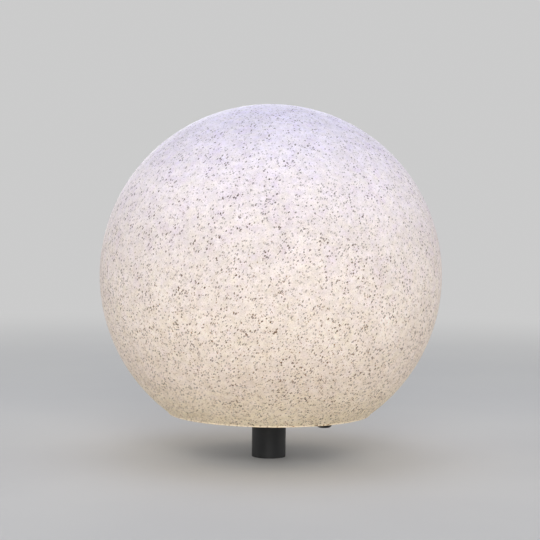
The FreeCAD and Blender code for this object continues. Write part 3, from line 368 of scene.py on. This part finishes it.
new_piece("globe_skin", globe_mesh, "globe", "globe_plastic", speckle, "globe_shell")

# ---------------------------------------------------------------- neck ring and its screws
# A moulded bayonet ring inside the globe, sealed by a rubber band and held by six screws from below.
# Its skirt goes down through the opening; the notches let the base's lugs through after a short turn.


def rgb(red, green, blue):
    """The linear colour of a screen colour given from 0 to 255."""
    def linear(part):
        part /= 255
        return part / 12.92 if part <= 0.04045 else ((part + 0.055) / 1.055) ** 2.4
    return (linear(red), linear(green), linear(blue), 1.0)


def rounded_edge(shade, radius):
    """The surface with its edges softened by that many mm."""
    return shade.node("ShaderNodeBevel", {"samples": 4}, {"Radius": radius * MM})


def moulded(colour, roughness=0.5, grain=900.0, depth=0.05, edge=0.5):
    """Recipe of a moulded plastic or rubber: fine spark texture, faint marks, softened edges."""
    def recipe(shade):
        place = object_place(shade)
        fine = noise(shade, place, grain, roughness=0.6)
        marks = noise(shade, place, scale=32, detail=4.0, roughness=0.65)
        pale = tuple(part * 1.12 + 0.004 for part in colour[:3]) + (1,)
        dark = tuple(part * 0.9 for part in colour[:3]) + (1,)
        return {"Base Color": marks.step(0.3, 0.7).blend(dark, pale),
                "Roughness": marks.step(0.3, 0.7, roughness - 0.05, roughness + 0.08),
                "Normal": bump(shade, fine, 0.5, depth, rounded_edge(shade, edge))}
    return recipe


def metal(colour, roughness=0.28):
    """Recipe of bare or plated metal with fine random marks and duller patches."""
    def recipe(shade):
        place = object_place(shade)
        marks = noise(shade, place, scale=1100, detail=3.0, roughness=0.7)
        patches = noise(shade, place, scale=210, detail=3.0, roughness=0.6)
        dull = tuple(part * 0.78 for part in colour[:3]) + (1,)
        return {"Base Color": patches.step(0.35, 0.7).blend(dull, colour), "Metallic": 1.0,
                "Roughness": patches.step(0.3, 0.75, roughness, roughness + 0.16),
                "Normal": bump(shade, marks, 0.3, 0.02, rounded_edge(shade, 0.2))}
    return recipe


def dress(finish, *nodes):
    """Gives CAD nodes a finish."""
    for name in nodes:
        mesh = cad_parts[name].data
        mesh.materials.clear()
        mesh.materials.append(finish)


def slab(name, low, high):
    """A box between two corners in mm, to cut with."""
    form = bmesh.new()
    bmesh.ops.create_cube(form, size=1.0)
    size = Vector(high) - Vector(low)
    middle = (Vector(high) + Vector(low)) / 2
    for corner in form.verts:
        corner.co = (Vector(part * length for part, length in zip(corner.co, size)) + middle) * MM
    return finished(form, name)


def joined(name, *meshes):
    """One mesh made of several."""
    form = bmesh.new()
    for mesh in meshes:
        form.from_mesh(mesh)
    return finished(form, name)


def moved(mesh, place, turn=0.0, flip=False):
    """A copy of a mesh turned about Z, or first turned upside down, and put at a place in mm."""
    copy = mesh.copy()
    over = Matrix.Rotation(math.pi, 4, "X") if flip else Matrix.Identity(4)
    copy.transform(Matrix.Translation(Vector(place) * MM) @ Matrix.Rotation(turn, 4, "Z") @ over)
    return copy


def carved(mesh, *tools):
    """A mesh with other meshes cut out of it."""
    scene = bpy.context.scene.collection
    block = bpy.data.objects.new("block", mesh)
    scene.objects.link(block)
    items = [block]
    for tool in tools:
        cutter = bpy.data.objects.new("cutter", tool)
        scene.objects.link(cutter)
        cutting = block.modifiers.new("cut", "BOOLEAN")
        cutting.object = cutter
        cutting.solver = "EXACT"
        items.append(cutter)
    bpy.context.view_layer.update()
    seen = block.evaluated_get(bpy.context.evaluated_depsgraph_get())
    shape = bpy.data.meshes.new_from_object(seen)
    for item in items:
        bpy.data.objects.remove(item)
    return joined(mesh.name, shape)


def threaded(pitch, depth):
    """A turned piece's shape with a right-hand thread of that pitch and depth."""
    def shape(radius, height, angle):
        phase = math.tau * height / pitch - angle
        return radius + depth * (math.cos(phase) - 1) / 2, height
    return shape


def screw(name, head, rise, shank, depth, pitch=1.3, slotted=False):
    """A round-headed screw in mm, its seat at height 0, with a cross or a slot in its head.

    head and shank are radii. rise is the head's height, and depth the shank's length.
    """
    fall = rise * 0.35
    brim = rise * 0.45
    crown = [(head * share, rise - fall * share ** 3) for share in (0.0, 0.3, 0.6, 0.85)]
    edge = [(*crown[-1], 0), (head, brim, rise / 4), (head, 0, 0.1), (shank * 0.99, 0, 0)]
    rings = int(5 * depth / pitch)
    stem = [(shank, -depth * step / rings) for step in range(1, rings + 1)]
    point = (0, -depth - shank * 0.8)
    wind = threaded(pitch, pitch * 0.4)

    def shape(radius, height, angle):
        if radius > 0 and height < -pitch / 2:
            return wind(radius, height, angle)
        return radius, height
    solid = turned(name, crown + softened(edge)[1:] + stem + [point], 36, shape)
    bottom = rise * 0.35
    top = rise * 2
    half = head * 0.13
    arm = head * (2 if slotted else 0.62)
    solid = carved(solid, slab("slot", (-arm, -half, bottom), (arm, half, top)))
    if slotted:
        return solid
    return carved(solid, slab("cross", (-half, -arm, bottom), (half, arm, top)))


def ring_of(name, mesh, count, radius, height, start=0.0, flip=False, twist=2.7):
    """Copies of a mesh evenly round the lamp's axis, each turned another way."""
    copies = []
    for index in range(count):
        angle = start + math.tau * index / count
        place = (radius * math.cos(angle), radius * math.sin(angle), height)
        copies.append(moved(mesh, place, angle * twist, flip))
    return joined(name, *copies)


neck_plastic = new_finish("neck_plastic", moulded(rgb(196, 196, 192)))
rubber = new_finish("black_rubber", moulded(rgb(30, 30, 31), 0.78, grain=1500, depth=0.03, edge=0.2))
zinc = new_finish("zinc_plated_steel", metal(rgb(205, 203, 196)))
dress(neck_plastic, "neck_ring")
dress(rubber, "neck_gasket", "base_gasket", "gland_washer", "gland_seal")

NECK_SCREW_HEAD = 3.4
neck_screw = screw("neck_screw", head=NECK_SCREW_HEAD, rise=2.2, shank=1.9, depth=7.0)
neck_circle = corners_of("neck_screws")[1].x - NECK_SCREW_HEAD
neck_screw_set = ring_of("neck_screw_set", neck_screw, count=6, radius=neck_circle,
                         height=FLOOR, flip=True)
new_piece("neck_screw_set", neck_screw_set, "globe", "screw_steel", zinc, "neck_screws")

# ---------------------------------------------------------------- base plate and lid
# One black moulding carries the wiring chamber, the bayonet lugs, the post's socket and its gussets.
# A lid with low ribs closes the chamber, held by three screws in pillars.

black_plastic = new_finish("black_plastic", moulded(rgb(23, 24, 26), grain=1100, depth=0.06))
dress(black_plastic, "base_plate", "wiring_cover", "post_tube", "ground_spike")

SMALL_HEAD = 2.8
SMALL_RISE = 1.8
SMALL_SHANK = 1.45
SMALL_PITCH = 1.1
cover_low, cover_high = corners_of("cover_screws")
cover_screw = screw("cover_screw", SMALL_HEAD, SMALL_RISE, SMALL_SHANK, depth=10.5, pitch=SMALL_PITCH)
cover_screw_set = ring_of("cover_screw_set", cover_screw, count=3, radius=-cover_low.x - SMALL_HEAD,
                          height=cover_high.z - SMALL_RISE, start=math.pi)
new_piece("cover_screw_set", cover_screw_set, "base", "screw_steel", zinc, "cover_screws")

# ---------------------------------------------------------------- cable gland
# Nylon gland: the domed nut squeezes a rubber sleeve onto the cable, and a locknut holds it from inside.
# Both hexagons are 22 mm across the flats, and the upper thread is a 16 mm one with a 1.5 mm pitch.

FLATS = 11
CORNERS = FLATS / math.cos(math.pi / 6)
CORNER_CUT = 0.8
GLAND_THREAD = 8
GLAND_PITCH = 1.5
GLAND_THREAD_DEPTH = 0.8
NUT_THREAD = 9.2
NUT_BORE = 9.4
CABLE_WAY = 5
SLEEVE_WAY = 7.4
HEX_GAUGE = 4
# the nut's dome: radii, and heights above its lower end
NUT_MOUTH = 5.3
NUT_TIP = 6.9
DOME_LOWER = (8.6, 1.4)
DOME_UPPER = (11.1, 6.2)
CONE_TOP = 6.8
FLATS_FOOT = 5.2
HEX_FOOT = 8.4
body_low, body_high = corners_of("gland_body")
nut_low, nut_high = corners_of("gland_nut")
sleeve_top = corners_of("gland_seal")[1].z
sleeve_foot = corners_of("gland_seal")[0].z
flange_top = corners_of("gland_washer")[0].z
flange_foot = flange_top - HEX_GAUGE
GLAND = ((body_low.x + body_high.x) / 2, 0)


def hexagonal(low, high):
    """A turned piece's shape with six flats between two heights."""
    def shape(radius, height, angle):
        if not low <= height <= high:
            return radius, height
        flat = FLATS / math.cos((angle + math.pi / 6) % (math.pi / 3) - math.pi / 6)
        return min(radius, flat), height
    return shape


def stem_shape(radius, height, angle):
    """Flats on the gland's hexagon, and threads above and below it."""
    if radius > NUT_BORE:
        return hexagonal(flange_foot, flange_top)(radius, height, angle)
    if radius in (GLAND_THREAD, NUT_THREAD) and height != flange_foot:
        return threaded(GLAND_PITCH, GLAND_THREAD_DEPTH)(radius, height, angle)
    return radius, height


gland_plastic = new_finish("gland_nylon",
                           moulded(rgb(25, 25, 27), 0.38, grain=1300, depth=0.02, edge=0.3))
nut_outline = softened([
    (NUT_BORE, nut_high.z, 0),
    (CORNERS - CORNER_CUT, nut_high.z, 0.2),
    (CORNERS, nut_high.z - CORNER_CUT / 2, 0.3),
    (CORNERS, nut_low.z + HEX_FOOT, 1.2),
    (DOME_UPPER[0], nut_low.z + DOME_UPPER[1], 3.0),
    (DOME_LOWER[0], nut_low.z + DOME_LOWER[1], 3.0),
    (NUT_TIP, nut_low.z, 1.0),
    (NUT_MOUTH, nut_low.z, 0.5),
    (NUT_MOUTH, sleeve_foot, 0.3),
    (NUT_BORE, nut_low.z + CONE_TOP, 0.3),
    (NUT_BORE, nut_high.z, 0),
])
nut_shape = hexagonal(nut_low.z + FLATS_FOOT, nut_high.z)
nut_mesh = turned("gland_nut_dome", nut_outline[:-1], 96, nut_shape, GLAND)
new_piece("gland_nut_dome", nut_mesh, "base", "gland_plastic", gland_plastic, "gland_nut")


def heights(low, high, step):
    """Even heights from low to high, about a step apart, for the rings of a thread."""
    count = round(abs(high - low) / step)
    return [low + (high - low) * index / count for index in range(count + 1)]


ring_gap = GLAND_PITCH / 5
stem_outline = [(NUT_THREAD, height) for height in heights(body_low.z, flange_foot, ring_gap)]
stem_outline += softened([
    (NUT_THREAD, flange_foot, 0),
    (CORNERS - CORNER_CUT, flange_foot, 0.2),
    (CORNERS, flange_foot + CORNER_CUT / 2, 0.3),
    (CORNERS, flange_top - CORNER_CUT / 2, 0.3),
    (CORNERS - CORNER_CUT, flange_top, 0.2),
    (GLAND_THREAD, flange_top, 0),
])[1:]
stem_outline += [(GLAND_THREAD, height) for height in heights(flange_top, body_high.z, ring_gap)[1:]]
stem_outline += [(CABLE_WAY, body_high.z), (CABLE_WAY, sleeve_top), (SLEEVE_WAY, sleeve_top),
                 (SLEEVE_WAY, body_low.z)]
stem_mesh = turned("gland_stem", stem_outline, 72, stem_shape, GLAND)
new_piece("gland_stem", stem_mesh, "base", "gland_plastic", gland_plastic, "gland_body")
dress(gland_plastic, "gland_locknut")

# ---------------------------------------------------------------- wiring
# Two-pole terminal block with brass tubes and slotted screws, a saddle that grips the cable,
# and two insulated leads that go over the socket and up the threaded tube to the lampholder.

white_nylon = new_finish("white_nylon",
                         moulded(rgb(226, 225, 217), 0.4, grain=1200, depth=0.02, edge=0.3))
brass = new_finish("brass", metal(rgb(214, 184, 118), 0.25))
brown = new_finish("brown_lead", moulded(rgb(104, 60, 34), 0.35, grain=700, depth=0.01, edge=0.1))
blue = new_finish("blue_lead", moulded(rgb(40, 92, 172), 0.35, grain=700, depth=0.01, edge=0.1))
dress(white_nylon, "terminal_block", "strain_clamp")
dress(brass, "terminal_tubes")
dress(brown, "lead_live")
dress(blue, "lead_neutral")


def at_corners(name, mesh, node, edge, seat):
    """A copy of a mesh at each corner of a CAD node, inset by an edge, on a seat's height."""
    low, high = corners_of(node)
    ends = sorted({round(low.x + edge, 2), round(high.x - edge, 2)})
    places = [(end, side, seat) for end in ends for side in (low.y + edge, high.y - edge)]
    return joined(name, *[moved(mesh, place, 0.4 + index) for index, place in enumerate(places)])


GRUB = 1.3
GRUB_DEPTH = 1.0
grub_screw = screw("grub_screw", GRUB, rise=2.0, shank=GRUB, depth=GRUB_DEPTH, pitch=0.7, slotted=True)
grub_seat = corners_of("terminal_screws")[0].z + GRUB_DEPTH
grub_set = at_corners("grub_screw_set", grub_screw, "terminal_screws", GRUB, grub_seat)
new_piece("grub_screw_set", grub_set, "base", "screw_steel", zinc, "terminal_screws")
clamp_screw = screw("clamp_screw", SMALL_HEAD, SMALL_RISE, SMALL_SHANK, depth=2.9, pitch=SMALL_PITCH)
clamp_seat = corners_of("strain_screws")[1].z - SMALL_RISE
clamp_set = at_corners("clamp_screw_set", clamp_screw, "strain_screws", SMALL_HEAD, clamp_seat)
new_piece("clamp_screw_set", clamp_set, "base", "screw_steel", zinc, "strain_screws")

# ---------------------------------------------------------------- lampholder
# A threaded steel tube and its nut hold the black holder on the lid. Inside it a glazed ceramic
# carries the rolled brass shell and both contacts.

LAMP_PITCH = 3.629
LAMP_DEPTH = 1.0
LAMP_FADE = 2
RING_STEP = 0.4


def lamp_thread(low, high, over):
    """A turned piece's shape with the lamp's rounded thread on radii of over, fading at its ends."""
    def shape(radius, height, angle):
        if radius < over:
            return radius, height
        fade = min(1, max(0, (height - low) / LAMP_FADE), max(0, (high - height) / LAMP_FADE))
        phase = math.tau * height / LAMP_PITCH - angle
        return radius + fade * LAMP_DEPTH * (math.cos(phase) - 1) / 2, height
    return shape


holder_black = new_finish("black_phenolic",
                          moulded(rgb(26, 26, 27), 0.22, grain=500, depth=0.01, edge=0.4))
glaze = new_finish("glazed_ceramic", moulded(rgb(236, 233, 222), 0.15, grain=260, depth=0.02))
dress(holder_black, "holder_dome", "holder_sleeve")
dress(glaze, "holder_base")
dress(zinc, "nipple_nut")
dress(brass, "centre_contact", "side_contact")

TUBE_BORE = 3.6
TUBE_PITCH = 1.0
tube_low, tube_high = corners_of("holder_nipple")


def tube_shape(radius, height, angle):
    """A fine thread on the outside of the threaded tube."""
    if radius > TUBE_BORE:
        return threaded(TUBE_PITCH, TUBE_PITCH * 0.55)(radius, height, angle)
    return radius, height


tube_rings = heights(tube_low.z, tube_high.z, TUBE_PITCH / 4)
tube_outline = [(tube_high.x, height) for height in tube_rings]
tube_outline += [(TUBE_BORE, tube_high.z), (TUBE_BORE, tube_low.z)]
tube_mesh = turned("threaded_tube", tube_outline, 48, tube_shape)
new_piece("threaded_tube", tube_mesh, "base", "screw_steel", zinc, "holder_nipple")

SHELL_WALL = 0.4
SHELL_FLOOR = 0.6
SHELL_HOLE = 8
SHELL_RUN_IN = 2
RUN_OUT = 1
# walls no further than this from the hole's radius stay smooth
SMOOTH_EDGE = 1
shell_low, shell_high = corners_of("threaded_shell")
shell_floor = shell_low.z + SHELL_FLOOR
shell_rings = heights(shell_low.z, shell_high.z, RING_STEP)
shell_outline = [(shell_high.x, height) for height in shell_rings]
shell_outline += [(shell_high.x - SHELL_WALL, height)
                  for height in heights(shell_high.z, shell_floor, RING_STEP)]
shell_outline += [(SHELL_HOLE, shell_floor), (SHELL_HOLE, shell_low.z)]
shell_thread = lamp_thread(shell_low.z + SHELL_RUN_IN, shell_high.z - RUN_OUT,
                           SHELL_HOLE + SMOOTH_EDGE)
shell_mesh = turned("screw_shell", shell_outline, 96, shell_thread)
new_piece("screw_shell", shell_mesh, "base", "brass", brass, "threaded_shell")

# ---------------------------------------------------------------- bulb
# Screw-cap lamp: solder tip, black glass insulator, rolled cap, white heat sink with the driver board
# inside, a white board with twelve yellow chips, and an opal dome.

DOME_FOOT = corners_of("bulb_diffuser")[0].z
DOME_TOP = corners_of("bulb_diffuser")[1].z
LIT_LOW = (0.50, 0.42, 0.32, 1)
LIT_HIGH = (0.40, 0.36, 0.30, 1)


def opal(shade):
    """Diffuser plastic, lit from behind and brightest low down, over the chips."""
    place = object_place(shade)
    climb = height_of(shade, place).step(DOME_FOOT * MM, DOME_TOP * MM)
    lit = climb.blend(LIT_LOW, LIT_HIGH)
    fine = noise(shade, place, scale=800)
    return {"Base Color": rgb(214, 212, 204), "Roughness": 0.32, "Emission Color": lit,
            "Emission Strength": 0.8, "Normal": bump(shade, fine, strength=0.2, depth=0.02)}


def phosphor(shade):
    """Yellow phosphor over a light chip, evenly lit."""
    spots = noise(shade, object_place(shade), scale=900)
    tone = spots.step(0.3, 0.7).blend(rgb(236, 200, 84), rgb(246, 214, 112))
    return {"Base Color": tone, "Roughness": 0.25, "Emission Color": tone, "Emission Strength": 0.6}


nickel = new_finish("nickel_cap", metal(rgb(208, 205, 200), 0.2))
solder = new_finish("solder", metal(rgb(176, 176, 174), 0.42))
black_glass = new_finish("black_glass", moulded(rgb(16, 16, 20), 0.08, grain=200, depth=0.01))
bulb_white = new_finish("bulb_white", moulded(rgb(236, 236, 232), 0.35, depth=0.02))
board_white = new_finish("board_white",
                         moulded(rgb(228, 230, 226), 0.3, grain=600, depth=0.01, edge=0.1))
board_green = new_finish("board_green",
                         moulded(rgb(22, 92, 50), 0.3, grain=300, depth=0.02, edge=0.1))
dress(solder, "bulb_tip")
dress(black_glass, "bulb_insulator")
dress(bulb_white, "bulb_heatsink")
dress(board_white, "led_board")
dress(board_green, "driver_board")
dress(new_finish("phosphor", phosphor), "led_chips")
dress(new_finish("opal", opal), "bulb_diffuser")

CAP_WALL = 0.6
CAP_NECK = 10.3
CAP_INNER_STEP = 0.6
# the rolled-in lower end: its height, and its lip's edges below the cap's straight part
CAP_ROLL = 2
LIP_TOP = 1.2
LIP_FOOT = 1.8
LIP_EDGE = 1.4
LIP_GAUGE = 0.7
cap_low, cap_high = corners_of("bulb_cap")
cap_foot = cap_low.z + CAP_ROLL
cap_inner = cap_high.x - CAP_WALL
cap_outline = [(cap_high.x, height) for height in heights(cap_foot, cap_high.z, RING_STEP)]
cap_outline += [(cap_inner, height) for height in heights(cap_high.z, cap_foot, CAP_INNER_STEP)]
cap_outline += [(CAP_NECK, cap_foot - LIP_TOP), (CAP_NECK, cap_foot - LIP_FOOT),
                (CAP_NECK + LIP_GAUGE, cap_foot - LIP_EDGE)]
cap_thread = lamp_thread(cap_foot, cap_high.z - RUN_OUT, CAP_NECK + SMOOTH_EDGE)
cap_mesh = turned("rolled_cap", cap_outline, 96, cap_thread)
new_piece("rolled_cap", cap_mesh, "bulb", "cap_metal", nickel, "bulb_cap")

# ---------------------------------------------------------------- floor, backdrop, lights and camera
# A plain pale floor, into which the spike goes, fades into an even backdrop of the same tone.
# Soft lamps all round and one above keep a plain light level on every side.

STUDIO_FLOOR = 8
FLOOR_RADIUS = 4.0
BLEND_START = 0.8
BLEND_END = 2.0
PALE = (0.60, 0.60, 0.60, 1)
PALE_DUST = (0.62, 0.62, 0.615, 1)
BLACK = (0, 0, 0, 1)
SKY = (0.94, 0.96, 1.0, 1)
SKY_STRENGTH = 0.44
BEAM = math.radians(80)


def seen_rays(shade):
    """One for the rays that show a thing to the camera, straight, mirrored or through glass."""
    camera_ray = shade.node("ShaderNodeLightPath", {}, {}, 0)
    glossy_ray = camera_ray.output(3)
    transmission_ray = camera_ray.output(6)
    return (camera_ray + glossy_ray + transmission_ray).step(0, 1)


def pale_floor(shade):
    """Matt floor that turns into the backdrop's tone away from the lamp, and shows only from above."""
    place = object_place(shade)
    far = shade.vectors("LENGTH", place).step(BLEND_START, BLEND_END)
    seen = seen_rays(shade)
    below = shade.node("ShaderNodeNewGeometry", {}, {}, 6)
    tone = noise(shade, place, scale=3, detail=3.0).step(0.3, 0.7).blend(PALE, PALE_DUST)
    return {"Base Color": far.blend(tone, BLACK), "Roughness": 0.9, "Specular IOR Level": 0.0,
            "Emission Color": (far * seen).blend(BLACK, PALE), "Emission Strength": 1.0,
            "Alpha": (1 - below) * (1 - far * (1 - seen))}


floor_form = bmesh.new()
bmesh.ops.create_circle(floor_form, cap_ends=True, segments=96, radius=FLOOR_RADIUS)
floor = bpy.data.objects.new("floor", finished(floor_form, "floor"))
floor.location.z = STUDIO_FLOOR * MM
bpy.context.scene.collection.objects.link(floor)
floor.data.materials.append(new_finish("pale_floor", pale_floor))

world = bpy.data.worlds.new("studio")
bpy.context.scene.world = world
world.use_nodes = True
world.node_tree.nodes.clear()
studio = Shade(world.node_tree)
light = studio.node("ShaderNodeBackground", {}, {"Color": SKY, "Strength": SKY_STRENGTH})
shown = studio.node("ShaderNodeBackground", {}, {"Color": PALE, "Strength": 1.0})
mixed = studio.node("ShaderNodeMixShader", {}, {0: seen_rays(studio), 1: light, 2: shown})
studio.node("ShaderNodeOutputWorld", {}, {"Surface": mixed})


def lamp(name, place, width, watts, colour):
    """A large soft round lamp that looks at the globe's middle, with its beam kept off the far floor."""
    data = bpy.data.lights.new(name, "AREA")
    data.shape = "DISK"
    data.size = width
    data.energy = watts
    data.color = colour
    data.spread = BEAM
    item = bpy.data.objects.new(name, data)
    item.location = place
    look = Vector((0, 0, GLOBE_CENTRE * MM)) - Vector(place)
    item.rotation_euler = look.to_track_quat("-Z", "Y").to_euler()
    bpy.context.scene.collection.objects.link(item)


WARM = (1.0, 0.98, 0.96)
PLAIN = (1.0, 0.99, 0.98)
COOL = (0.87, 0.9, 1.0)
lamp("front_lamp", (0.06, -2.6, 1.15), width=1.7, watts=9.3, colour=WARM)
lamp("back_lamp", (-0.2, 2.6, 0.7), width=1.8, watts=7.0, colour=PLAIN)
lamp("left_lamp", (-2.7, 0.0, 0.7), width=1.8, watts=2.2, colour=PLAIN)
lamp("right_lamp", (2.7, 0.0, 0.7), width=1.8, watts=2.2, colour=PLAIN)
lamp("top_lamp", (0.0, 0.0, 2.6), width=1.6, watts=2.1, colour=COOL)

# the globe's outline in the photograph sets the camera, ten globe radii away
PHOTO = 540
GLOBE_SEEN = (270.87, 275.1)
GLOBE_SEEN_RADIUS = 171.13
RADII_AWAY = 10
ELEVATION = math.radians(3.71)
ROLL = math.radians(0.7)
SENSOR = 36
distance = RADII_AWAY * GLOBE_RADIUS * MM
focus = GLOBE_SEEN_RADIUS * math.sqrt(RADII_AWAY ** 2 - 1)
data = bpy.data.cameras.new("camera")
data.sensor_width = SENSOR
data.lens = SENSOR * focus / PHOTO
camera = bpy.data.objects.new("camera", data)
bpy.context.scene.collection.objects.link(camera)
middle = GLOBE_CENTRE * MM
eye = Vector((0, -math.cos(ELEVATION), math.sin(ELEVATION))) * distance + Vector((0, 0, middle))
pixel = distance / focus
aside = (PHOTO / 2 - GLOBE_SEEN[0]) * pixel
aim = Vector((aside, 0, middle + (GLOBE_SEEN[1] - PHOTO / 2) * pixel))
turn = (aim - eye).to_track_quat("-Z", "Y").to_matrix().to_4x4()
camera.matrix_world = Matrix.Translation(eye) @ turn @ Matrix.Rotation(ROLL, 4, "Z")
bpy.context.scene.camera = camera
bpy.context.scene.view_settings.view_transform = "Standard"
